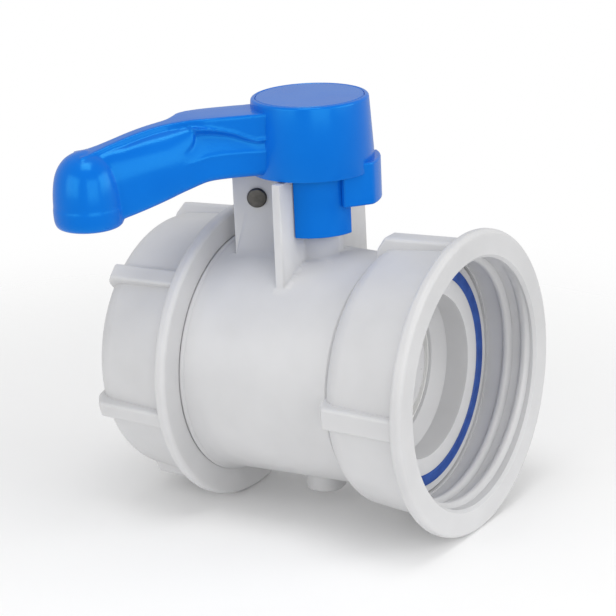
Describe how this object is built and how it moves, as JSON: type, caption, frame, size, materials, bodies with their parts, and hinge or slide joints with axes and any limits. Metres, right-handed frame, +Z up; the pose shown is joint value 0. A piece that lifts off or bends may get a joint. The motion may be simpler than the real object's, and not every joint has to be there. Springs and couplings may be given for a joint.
{
  "type": "ibc tank valve",
  "caption": "Quarter-turn plastic ball valve for a bulk container, with a lobed union nut at each end, a blue curved lever on top and a blue ring gasket in the threaded outlet.",
  "frame": {"origin": "centre of the inlet union nut's end face, on the flow axis", "axes": "+X along the flow, from the inlet nut to the outlet nut; +Z up along the stem to the handle; +Y to the left when looking along the flow"},
  "size_m": [0.1111, 0.109, 0.1286],
  "materials": {
    "body_white": "satin natural polyethylene",
    "handle_blue": "glossy",
    "gasket_blue": "matte",
    "seal_black": "matte",
    "seat_white": "smooth",
    "ball_white": "polished",
    "stem_white": "satin",
    "pin_grey": "dull",
    "steel": "plated"
  },
  "bodies": {
    "valve_body": {"valve_body": "body_white", "lock_pin": "pin_grey", "outlet_tail": "body_white", "tail_oring": "seal_black", "outlet_gasket": "gasket_blue", "seat_inlet": "seat_white", "seat_outlet": "seat_white", "seat_oring_inlet": "seal_black", "seat_oring_outlet": "seal_black"},
    "handle": {"handle": "handle_blue", "hub_cap": "handle_blue", "handle_screw": "steel", "handle_washer": "steel", "stem": "stem_white", "stem_washer": "seat_white", "stem_oring_lower": "seal_black", "stem_oring_upper": "seal_black", "ball": "ball_white"},
    "inlet_gasket": {"inlet_gasket": "gasket_blue"},
    "inlet_nut": {"inlet_nut": "body_white"},
    "outlet_nut": {"outlet_nut": "body_white"}
  },
  "joints": [
    {"name": "handle_turn", "type": "hinge", "parent": "valve_body", "child": "handle", "pos_m": [0.057, 0, 0], "axis": [0, 0, 1], "range_deg": [0, 90]},
    {"name": "inlet_nut_travel", "type": "slide", "parent": "valve_body", "child": "inlet_gasket", "axis": [-1, 0, 0], "range_m": [0, 0.024]},
    {"name": "inlet_nut_turn", "type": "hinge", "parent": "inlet_gasket", "child": "inlet_nut", "pos_m": [0, 0, 0], "axis": [-1, 0, 0], "range_deg": [0, 1440]},
    {"name": "outlet_nut_turn", "type": "hinge", "parent": "valve_body", "child": "outlet_nut", "pos_m": [0.0954, 0, 0], "axis": [1, 0, 0], "continuous": true}
  ],
  "couplings": [
    {"joint": "inlet_nut_travel", "follows": "inlet_nut_turn", "m_per_rad": 0.00095493}
  ]
}
